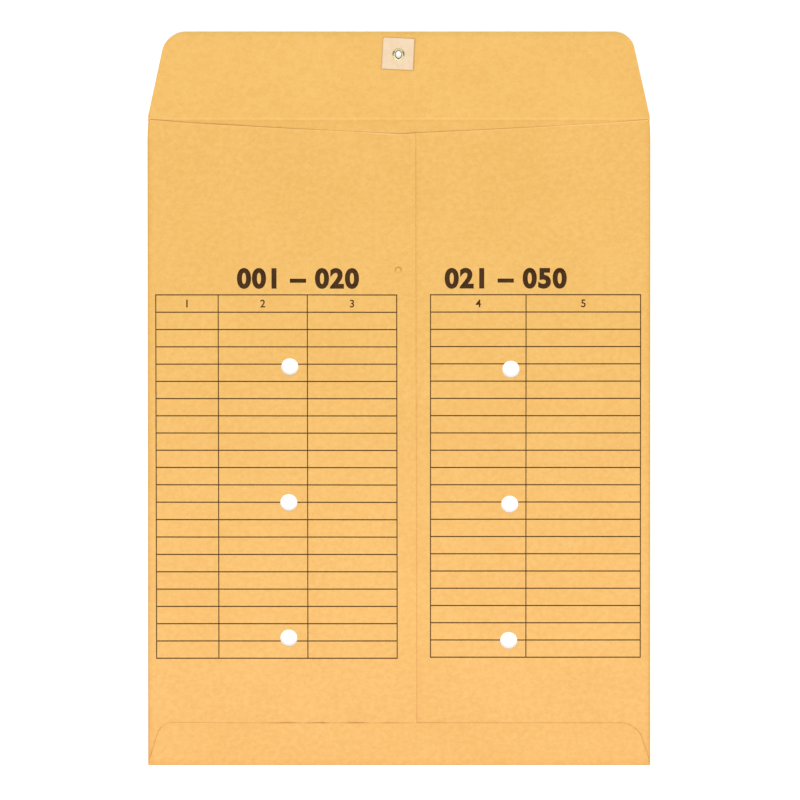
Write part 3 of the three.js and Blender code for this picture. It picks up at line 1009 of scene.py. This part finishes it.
def seam_panel(name, low, high, side):
    """A back panel with the side fold on its side, -1 or 1, rolled from its outer edge to the front panel."""
    fold_x = high.x if side > 0 else low.x
    panel = lay_plane(name, low, (high.x, FOLD_Y), high.z)
    shape_mouth(panel)
    fold_top_y = FRONT_HIGH.y - CREASE_STEP
    open_mesh(panel)
    cut_across((0, fold_top_y, 0), (0, 1, 0))
    pick(panel, lambda place: abs(place.x - fold_x) < NEAR and place.y < fold_top_y + NEAR, "EDGE")
    bpy.ops.mesh.spin(steps=FOLD_STEPS, angle=-math.pi * side, center=(fold_x, 0, (FRONT_LOW.z + high.z) / 2),
                      axis=(0, 1, 0))
    weld_and_close()
    score_mouth(panel)
    slice_up(panel, extra_columns=[LEFT_HIGH.x - back * MM for back in SEAM_COLUMNS])
    return panel


class ENVELOPE_OT_front_sheet(bpy.types.Operator):
    """Cut the front panel and the closing flap from one sheet, scored where they meet"""

    bl_idname = "envelope.front_sheet"
    bl_label = "Front panel and flap"

    def execute(self, context):
        sheet = lay_plane("front_sheet", FRONT_LOW, FRONT_HIGH, FRONT_HIGH.z)
        half = CREASE_HIGH.x
        edge_y = FRONT_HIGH.y
        for next_y, next_left, next_right in (
                (edge_y + CREASE_STEP, -half, half), (CREASE_HIGH.y, -half, half),
                (FLAP_HIGH.y, FLAP_TIP_LEFT, FLAP_TIP_RIGHT)):
            open_mesh(sheet, "EDGE")
            pick(sheet, lambda place: abs(place.y - edge_y) < NEAR, "EDGE")
            bpy.ops.mesh.extrude_region_move(TRANSFORM_OT_translate={"value": (0, next_y - edge_y, 0)})
            close_mesh()
            edge_y = next_y
            for tip in [vertex for vertex in sheet.data.vertices if abs(vertex.co.y - edge_y) < NEAR]:
                tip.co.x = next_left if tip.co.x < 0 else next_right
        open_mesh(sheet)
        for corner_x, offset in FLAP_CORNERS:
            pick(sheet, lambda place: (place.xy - Vector((corner_x, FLAP_HIGH.y))).length < NEAR)
            bpy.ops.mesh.bevel(offset=offset, segments=10, profile=0.5, affect="VERTICES")
        close_mesh()

        score_rows = [CREASE_LOW.y + step * (CREASE_HIGH.y - CREASE_LOW.y) / 20 for step in range(21)]
        slice_up(sheet, extra_rows=score_rows + [FLAP_HIGH.y - drop * MM for drop in FLAP_ROWS])
        thicken(sheet)
        drill(sheet, LEFT_SIGHT_HOLES + RIGHT_SIGHT_HOLES, FRONT_HOLE_RADIUS)
        drill(sheet, [FLAP_BUTTON, BODY_BUTTON], EYELET_HOLE_RADIUS)

        settle(sheet)
        shift(sheet, FOOT_SPREAD, foot_share, "X")
        shift(sheet, -EDGE_DROOP, lambda place: end_share(place.y, FLAP_HIGH.y, EDGE_DROOP_REACH))
        shift(sheet, -SCORE_DENT, lambda place: ridge_share(place.y - FOLD_Y + SCORE_DENT_DROP, SCORE_DENT_WIDTH))
        shade(sheet)
        dress(sheet, kraft_finish("scored_golden_kraft", scored=True), None,
              ("front_panel", "flap_crease", "closure_flap"))
        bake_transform(sheet)
        return {"FINISHED"}


class ENVELOPE_OT_right_panel(bpy.types.Operator):
    """Fold the right back panel in from its side, under the seam"""

    bl_idname = "envelope.right_panel"
    bl_label = "Right back panel"

    def execute(self, context):
        panel = seam_panel("right_seam_panel", RIGHT_LOW, RIGHT_HIGH, 1)
        set_panel(panel, RIGHT_SIGHT_HOLES, RIGHT_FOLD_PRESS)
        shift(panel, -FOLD_DRAW_IN, fold_end_share, "X")
        shift(panel, FOOT_SPREAD, foot_share, "X")
        shade(panel)
        dress(panel, finish_for("golden_kraft", kraft_finish), "pocket",
              ("right_back_panel", "right_side_fold"))
        return {"FINISHED"}


class ENVELOPE_OT_left_panel(bpy.types.Operator):
    """Fold the left back panel in from its side, over the seam, with the eyelet's ring pressed into it"""

    bl_idname = "envelope.left_panel"
    bl_label = "Left back panel"

    def execute(self, context):
        panel = seam_panel("left_seam_panel", LEFT_LOW, LEFT_HIGH, -1)
        middle_z = (FRONT_LOW.z + LEFT_HIGH.z) / 2
        for reach, cuts in ((5.5 * MM, 3), (4.5 * MM, 2), (2.7 * MM, 1)):
            open_mesh(panel, "FACE")
            pick(panel, lambda middle: (middle.xy - BODY_BUTTON).length < reach and middle.z > middle_z, "FACE")
            bpy.ops.mesh.subdivide(number_cuts=cuts)
            close_mesh()
        set_panel(panel, LEFT_SIGHT_HOLES, LEFT_FOLD_PRESS)
        shift(panel, context.scene.envelope_paper.ring_height, ring_share)
        shift(panel, SEAM_LIFT, lambda place: end_share(place.x, LEFT_HIGH.x, SEAM_LIFT_REACH))
        shift(panel, SEAM_SKEW, seam_skew_share, "X")
        shift(panel, SEAM_START, lambda place: smooth_share(place.x / LEFT_HIGH.x), "X")
        shift(panel, FOLD_DRAW_IN, fold_end_share, "X")
        shade(panel)
        dress(panel, finish_for("golden_kraft", kraft_finish), "pocket",
              ("left_back_panel", "left_side_fold"))
        return {"FINISHED"}


class ENVELOPE_OT_bottom_flap(bpy.types.Operator):
    """Turn the bottom flap up over the back panels, with its fold"""

    bl_idname = "envelope.bottom_flap"
    bl_label = "Bottom flap"

    def execute(self, context):
        fold_y = TURN_IN_LOW.y
        flap = lay_plane("turned_in_flap", (-TURN_IN_ROOT_HALF, fold_y), (TURN_IN_ROOT_HALF, TURN_IN_HIGH.y),
                         TURN_IN_HIGH.z)
        for vertex in flap.data.vertices:
            if vertex.co.y > fold_y + NEAR:
                vertex.co.x = math.copysign(TURN_IN_TIP_HALF, vertex.co.x)
        open_mesh(flap)
        for side, offset in TURN_IN_CORNERS:
            pick(flap, lambda place: place.x * side > TURN_IN_TIP_HALF - NEAR and place.y > TURN_IN_HIGH.y - NEAR)
            bpy.ops.mesh.bevel(offset=offset, segments=10, profile=0.5, affect="VERTICES")
        pick(flap, lambda place: abs(place.y - fold_y) < NEAR, "EDGE")
        bpy.ops.mesh.spin(steps=FOLD_STEPS, angle=-math.pi,
                          center=(0, fold_y, (FRONT_LOW.z + TURN_IN_HIGH.z) / 2), axis=(1, 0, 0))
        weld_and_close()
        slice_up(flap, extra_rows=[TURN_IN_HIGH.y - drop * MM for drop in TURN_IN_ROWS])
        thicken(flap)
        settle(flap)
        shift(flap, context.scene.envelope_paper.turn_in_lift, loose_share)
        shift(flap, TURN_IN_SIDE_LIFT, turn_in_side_share)
        shift(flap, -TURN_IN_EDGE_DROOP, lambda place: end_share(place.y, TURN_IN_HIGH.y, TURN_IN_DROOP_REACH))
        shift(flap, -GLUE_PRESS, glue_press_share)
        shift(flap, -TURN_IN_SKEW, turn_in_skew_share, "Y")
        shift(flap, FOOT_SPREAD, foot_share, "X")
        shade(flap)
        dress(flap, finish_for("golden_kraft", kraft_finish), "pocket",
              ("bottom_flap", "bottom_fold"))
        return {"FINISHED"}


class ENVELOPE_OT_glue(bpy.types.Operator):
    """Spread the films of glue in the centre seam and under the bottom flap"""

    bl_idname = "envelope.glue"
    bl_label = "Glue films"

    def execute(self, context):
        for name, node in (("seam_glue_film", "seam_glue"), ("turn_in_glue_film", "bottom_flap_glue")):
            low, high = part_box(node)
            film = lay_block(name, low, high)
            if node == "bottom_flap_glue":
                subtract(film, lay_block("left_panel_room", (low.x - MM, low.y - MM, low.z - MM),
                                         (LEFT_HIGH.x, high.y + MM, LEFT_HIGH.z)))
            slice_up(film)
            settle(film)
            if node == "seam_glue":
                press_mouth(film)
            else:
                shift(film, -GLUE_PRESS, lambda place: glue_press_share(place) * (place.z > low.z + 0.1 * MM))
            shade(film)
            dress(film, finish_for("dried_glue", glue_finish), "pocket", (node,))
        return {"FINISHED"}


# Buttons, eyelets and patches

def turned_patch(name, node, centre, turn, body):
    """A square of cream paper with softened edges, its corners a little off the kraft."""
    low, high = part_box(node)
    middle = centre + PATCH_OFFSET
    clear_bench()
    bpy.ops.mesh.primitive_grid_add(x_subdivisions=18, y_subdivisions=18, size=PATCH_SIDE,
                                    location=(*middle, high.z))
    patch = named(bpy.context.object, name)
    patch.rotation_euler.z = turn
    put_in_place()
    apply_modifier(patch, "SOLIDIFY", thickness=high.z - low.z, offset=-1)
    drill(patch, [centre], EYELET_HOLE_RADIUS)
    soften(patch, 0.05 * MM, 2, 50)
    corner = PATCH_SIDE * math.sqrt(0.5)

    def curl_share(place):
        off = place.xy - middle
        foot = end_share(-off.y, PATCH_SIDE / 2, 3 * MM)
        return max(smooth_share((off.length - PATCH_CURL_START) / (corner - PATCH_CURL_START)), 0.75 * foot)

    shift(patch, PATCH_CURL, curl_share)
    shade(patch)
    dress(patch, patch_finish(name + "_cream", middle, turn), body, (node,))


class ENVELOPE_OT_patches(bpy.types.Operator):
    """Paste a square reinforcing patch under each clinched eyelet"""

    bl_idname = "envelope.patches"
    bl_label = "Patches"

    def execute(self, context):
        turned_patch("flap_patch_square", "flap_patch", FLAP_BUTTON, FLAP_PATCH_TURN, "flap")
        turned_patch("body_patch_square", "body_patch", BODY_BUTTON, BODY_PATCH_TURN, "pocket")
        return {"FINISHED"}


def eyelet_section(flange_low, flange_top, patch_top, clinch_top):
    """Radius and height of each point round an eyelet's wall, in order."""
    points = []
    outer = EYELET_BORE + EYELET_WALL

    def arc(centre_r, centre_z, radius, start, end, count):
        for step in range(count + 1):
            angle = math.radians(start + (end - start) * step / count)
            points.append((centre_r + radius * math.cos(angle), centre_z + radius * math.sin(angle)))

    foot = (flange_top - flange_low) / 2
    roll = (clinch_top - patch_top) / 2
    arc(EYELET_BORE + 0.3 * MM, flange_low + 0.3 * MM, 0.3 * MM, 180, 270, 5)
    arc(EYELET_RIM - foot, flange_low + foot, foot, -90, 90, 8)
    arc(outer + 0.08 * MM, flange_top + 0.08 * MM, 0.08 * MM, 270, 180, 3)
    points.append((outer, patch_top - 0.02 * MM))
    arc(EYELET_RIM - roll * 0.55, patch_top + roll * 0.56, roll * 0.55, -90, 60, 7)
    arc(outer + 0.34 * MM, clinch_top - 0.36 * MM, 0.36 * MM, 80, 150, 5)
    points.append((EYELET_BORE, clinch_top - 0.55 * MM))
    return points


def spun_eyelet(name, centre, flange_low, flange_top, patch_top, clinch_top):
    """One eyelet, its wall's section spun round its axis and its clinched rim split as the press left it."""
    clear_bench()
    bpy.ops.mesh.primitive_plane_add(size=0.1 * MM)
    eyelet = named(bpy.context.object, name)
    open_mesh(eyelet)
    pick(eyelet, lambda place: place.x > 0 or place.y > 0)
    bpy.ops.mesh.delete(type="VERT")
    bpy.ops.mesh.select_all(action="SELECT")
    start = bmesh.from_edit_mesh(eyelet.data).verts[:][0].co.copy()
    at = start
    for radius, height in eyelet_section(flange_low, flange_top, patch_top, clinch_top):
        step = Vector((radius, 0, height)) - at
        if at is start:
            bpy.ops.transform.translate(value=step)
        else:
            bpy.ops.mesh.extrude_region_move(TRANSFORM_OT_translate={"value": step})
        at = Vector((radius, 0, height))
    bpy.ops.mesh.select_all(action="SELECT")
    bpy.ops.mesh.edge_face_add()
    bpy.ops.mesh.delete(type="ONLY_FACE")
    bpy.ops.mesh.select_all(action="SELECT")
    bpy.ops.mesh.spin(steps=72, angle=2 * math.pi, center=(0, 0, 0), axis=(0, 0, 1))
    weld_and_close()
    blades = []
    for angle, width, depth in CLINCH_SPLITS:
        blade = lay_block("blade", (EYELET_RIM - depth * MM, -width * MM / 2, patch_top + 0.01 * MM),
                          (EYELET_RIM + 0.4 * MM, width * MM / 2, clinch_top + 1 * MM))
        blade.rotation_euler.z = math.radians(angle)
        put_in_place()
        blades.append(blade)
    subtract(eyelet, join(blades, "blades"))
    for side, drawn in ((1, BORE_STRETCH_UP), (-1, BORE_STRETCH_DOWN)):
        shift(eyelet, side * MM, lambda place: max(place.y * side, 0) * drawn * bore_share(place) / MM, "Y")
    soften(eyelet, 0.035 * MM, 2, 45)
    take_up(eyelet)
    eyelet.location = (*centre, 0)
    put_in_place()
    shade(eyelet)
    return eyelet


class ENVELOPE_OT_eyelets(bpy.types.Operator):
    """Spin the two eyelets and clinch them over their patches"""

    bl_idname = "envelope.eyelets"
    bl_label = "Eyelets"

    def execute(self, context):
        for name, node, patch, centre, body in (
                ("flap_eyelet_clinched", "flap_eyelet", "flap_patch", FLAP_BUTTON, "flap"),
                ("body_eyelet_clinched", "body_eyelet", "body_patch", BODY_BUTTON, "pocket")):
            low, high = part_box(node)
            eyelet = spun_eyelet(name, centre, low.z, low.z + EYELET_WALL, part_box(patch)[1].z, high.z)
            dress(eyelet, metal_finish(name + "_metal", centre), body, (node,))
        return {"FINISHED"}


class ENVELOPE_OT_buttons(bpy.types.Operator):
    """Stamp the two fibre buttons"""

    bl_idname = "envelope.buttons"
    bl_label = "Fibre buttons"

    def execute(self, context):
        for name, node, centre, body in (
                ("flap_fibre_button", "flap_button", FLAP_BUTTON, "flap_button_disc"),
                ("body_fibre_button", "body_button", BODY_BUTTON, "body_button_disc")):
            low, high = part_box(node)
            clear_bench()
            bpy.ops.mesh.primitive_cylinder_add(vertices=96, radius=BUTTON_RADIUS, depth=high.z - low.z,
                                                location=(*centre, (low.z + high.z) / 2))
            button = named(bpy.context.object, name)
            put_in_place()
            for face_z in (high.z, low.z):
                open_mesh(button, "FACE")
                pick(button, lambda middle: abs(middle.z - face_z) < NEAR, "FACE")
                for inset, sink in BUTTON_INSETS:
                    bpy.ops.mesh.inset(thickness=inset, depth=sink)
                close_mesh()
            drill(button, [centre], BUTTON_HOLE_RADIUS)
            soften(button, 0.16 * MM, 4, 55)
            shade(button)
            dress(button, fibre_finish(name + "_fibre", centre), body, (node,))
        return {"FINISHED"}


# Printed forms

def set_numerals(words, centre, height, z, far_side, weight, spacing=1.0):
    """Numerals in the plain built-in face, of a given height, centred at a place."""
    clear_bench()
    bpy.ops.object.text_add()
    text = bpy.context.object
    text.data.body = words
    text.data.align_x, text.data.align_y = "CENTER", "CENTER"
    text.data.space_character = spacing
    text.data.offset = weight
    text.data.resolution_u = 6
    bpy.ops.object.convert(target="MESH")
    shape = bpy.context.object
    corners = [Vector(corner) for corner in shape.bound_box]
    low = Vector([min(corner[axis] for corner in corners) for axis in range(3)])
    high = Vector([max(corner[axis] for corner in corners) for axis in range(3)])
    scale = height / (high.y - low.y)
    for vertex in shape.data.vertices:
        vertex.co = (vertex.co - (low + high) / 2) * scale
    if far_side:
        shape.rotation_euler.y = math.pi
    shape.location = (*centre, z)
    put_in_place()
    edit_all(shape, bpy.ops.mesh.remove_doubles, threshold=0.002 * MM)
    return shape


def form_sheet(name, columns, top, pitch, heading, heading_x, numbers, z, far_side=False):
    """One ruled form with its heading: flat strips and numerals, joined."""
    settings = bpy.context.scene.envelope_form
    half, row_half = settings.column_line / 2, settings.row_line / 2
    bottom = top - pitch * settings.rows
    line = lay_plane("rule", (columns[0] - half, top - row_half), (columns[-1] + half, top + row_half), z)
    apply_modifier(line, "ARRAY", count=settings.rows + 1, use_relative_offset=False, use_constant_offset=True,
                   constant_offset_displace=(0, -pitch, 0))
    parts = [line]
    for x in columns:
        parts.append(lay_plane("rule", (x - half, bottom - row_half), (x + half, top + row_half), z))
    if far_side:
        for part in parts:
            edit_all(part, bpy.ops.mesh.flip_normals)
    for number, start, end in zip(numbers, columns, columns[1:]):
        parts.append(set_numerals(number, ((start + end) / 2, top - pitch / 2), settings.head_height, z, far_side,
                                  NUMBER_WEIGHT))
    parts.append(set_numerals(heading, (heading_x, top + HEADING_RISE), settings.heading_height, z, far_side,
                              HEADING_WEIGHT, HEADING_SPACING))
    return join(parts, name)


def print_form(form, punched, radius):
    """Slices, thickens, punches and settles a form, so that it lies in the paper's surface."""
    slice_up(form)
    apply_modifier(form, "SOLIDIFY", thickness=bpy.context.scene.envelope_form.proud * 2, offset=0)
    drill(form, punched, radius + PUNCH_CLEARANCE, crossing=True)
    edit_all(form, bpy.ops.mesh.dissolve_degenerate, threshold=0.001 * MM)
    settle(form)
    dress(form, finish_for("brown_form_ink", ink_finish), "pocket")


class ENVELOPE_OT_forms(bpy.types.Operator):
    """Print the ruled forms, two on the seam side and two on the far side"""

    bl_idname = "envelope.forms"
    bl_label = "Printed forms"

    def execute(self, context):
        settings = context.scene.envelope_form
        form = form_sheet("left_form_print", LEFT_COLUMNS, LEFT_FORM_TOP, LEFT_ROW_PITCH,
                          settings.left_heading, LEFT_HEADING_X, "123", LEFT_HIGH.z)
        shift(form, FORM_SKEW, lambda place: (LEFT_FORM_TOP - place.y) / FORM_SKEW_REACH, "X")
        shift(form, ROW_DRIFT, row_drift_share, "Y")
        print_form(form, LEFT_SIGHT_HOLES, SIGHT_HOLE_RADIUS)
        form = form_sheet("right_form_print", RIGHT_COLUMNS, RIGHT_FORM_TOP, RIGHT_ROW_PITCH,
                          settings.right_heading, RIGHT_HEADING_X, "45", RIGHT_HIGH.z)
        print_form(form, RIGHT_SIGHT_HOLES, SIGHT_HOLE_RADIUS)
        far = []
        for columns, heading, heading_x, numbers, punched in (
                (LEFT_COLUMNS, "101 – 120", -LEFT_HEADING_X, "321", RIGHT_SIGHT_HOLES),
                (RIGHT_COLUMNS, "121 – 150", -RIGHT_HEADING_X, "54", LEFT_SIGHT_HOLES)):
            mirrored = [-x for x in reversed(columns)]
            form = form_sheet("far_form", mirrored, LEFT_FORM_TOP, LEFT_ROW_PITCH, heading, heading_x, numbers,
                              FRONT_LOW.z, far_side=True)
            print_form(form, punched, FRONT_HOLE_RADIUS)
            far.append(form)
        join(far, "far_form_print")
        return {"FINISHED"}


# Stage

def light_sky(scene, strength):
    """An even sky of that strength, plain white where it is looked at."""
    world = bpy.data.worlds.new("soft_sky")
    scene.world = world
    world.use_nodes = True
    nodes, links = world.node_tree.nodes, world.node_tree.links
    back = nodes["Background"]
    back.inputs["Color"].default_value = (1, 1, 1, 1)
    path = nodes.new("ShaderNodeLightPath")
    seen = path.outputs["Is Camera Ray"]
    for ray in ("Is Glossy Ray", "Is Transmission Ray"):
        either = nodes.new("ShaderNodeMath")
        either.operation = "MAXIMUM"
        links.new(seen, either.inputs[0])
        links.new(path.outputs[ray], either.inputs[1])
        seen = either.outputs[0]
    level = nodes.new("ShaderNodeMapRange")
    links.new(seen, level.inputs["Value"])
    level.inputs["To Min"].default_value = strength
    level.inputs["To Max"].default_value = 1.0
    links.new(level.outputs[0], back.inputs["Strength"])


class ENVELOPE_OT_stage(bpy.types.Operator):
    """Set the pale floor, the soft light and the camera"""

    bl_idname = "envelope.stage"
    bl_label = "Stage"

    def execute(self, context):
        settings = context.scene.envelope_stage
        scene = context.scene
        scene.view_settings.view_transform = "Standard"
        clear_bench()
        bpy.ops.mesh.primitive_circle_add(vertices=96, radius=FLOOR_RADIUS, fill_type="NGON", location=(0, 0, 0))
        floor = named(bpy.context.object, "floor")
        floor.data.materials.append(floor_finish())
        light_sky(scene, settings.sky)

        clear_bench()
        bpy.ops.object.light_add(type="SUN", location=KEY_PLACE)
        key = bpy.context.object
        key.name = "soft_key"
        key.data.energy = settings.key
        key.data.angle = math.radians(35)
        key.rotation_euler = KEY_DIRECTION.to_track_quat("Z", "Y").to_euler()

        clear_bench()
        distance = settings.lens / SENSOR_WIDTH * settings.view_width
        lift = settings.elevation
        bpy.ops.object.camera_add(location=VIEW_CENTRE + distance * Vector((0, -math.cos(lift), math.sin(lift))),
                                  rotation=(math.pi / 2 - lift, 0, 0))
        camera = bpy.context.object
        camera.data.lens = settings.lens
        camera.data.sensor_width = SENSOR_WIDTH
        camera.data.clip_start = 0.05
        camera.data.clip_end = 100
        scene.camera = camera
        return {"FINISHED"}


# Panel and registration

STEPS = (
    ENVELOPE_OT_front_sheet,
    ENVELOPE_OT_right_panel,
    ENVELOPE_OT_left_panel,
    ENVELOPE_OT_bottom_flap,
    ENVELOPE_OT_glue,
    ENVELOPE_OT_patches,
    ENVELOPE_OT_eyelets,
    ENVELOPE_OT_buttons,
    ENVELOPE_OT_forms,
    ENVELOPE_OT_stage,
)

SETTINGS = (
    ("envelope_paper", EnvelopePaperSettings),
    ("envelope_form", EnvelopeFormSettings),
    ("envelope_colours", EnvelopeColourSettings),
    ("envelope_stage", EnvelopeStageSettings),
)


class ENVELOPE_PT_steps(bpy.types.Panel):
    """Lists the envelope's settings and steps"""

    bl_label = "Kraft Form Envelope"
    bl_idname = "ENVELOPE_PT_steps"
    bl_space_type = "VIEW_3D"
    bl_region_type = "UI"
    bl_category = "Envelope"

    def draw(self, context):
        for group, _ in SETTINGS:
            settings = getattr(context.scene, group)
            box = self.layout.box()
            for name in settings.bl_rna.properties.keys():
                if name not in {"rna_type", "name"}:
                    box.prop(settings, name)
        for step in STEPS:
            self.layout.operator(step.bl_idname)


def register():
    for name, group in SETTINGS:
        bpy.utils.register_class(group)
        setattr(bpy.types.Scene, name, PointerProperty(type=group))
    for step in (*STEPS, ENVELOPE_PT_steps):
        bpy.utils.register_class(step)


def unregister():
    for step in reversed((*STEPS, ENVELOPE_PT_steps)):
        bpy.utils.unregister_class(step)
    for name, group in reversed(SETTINGS):
        delattr(bpy.types.Scene, name)
        bpy.utils.unregister_class(group)


def main():
    """Builds the envelope and its stage."""
    register()
    for step in STEPS:
        group, name = step.bl_idname.split(".")
        if getattr(getattr(bpy.ops, group), name)() != {"FINISHED"}:
            raise RuntimeError(f"{step.bl_label} did not finish")


if __name__ == "__main__":
    main()
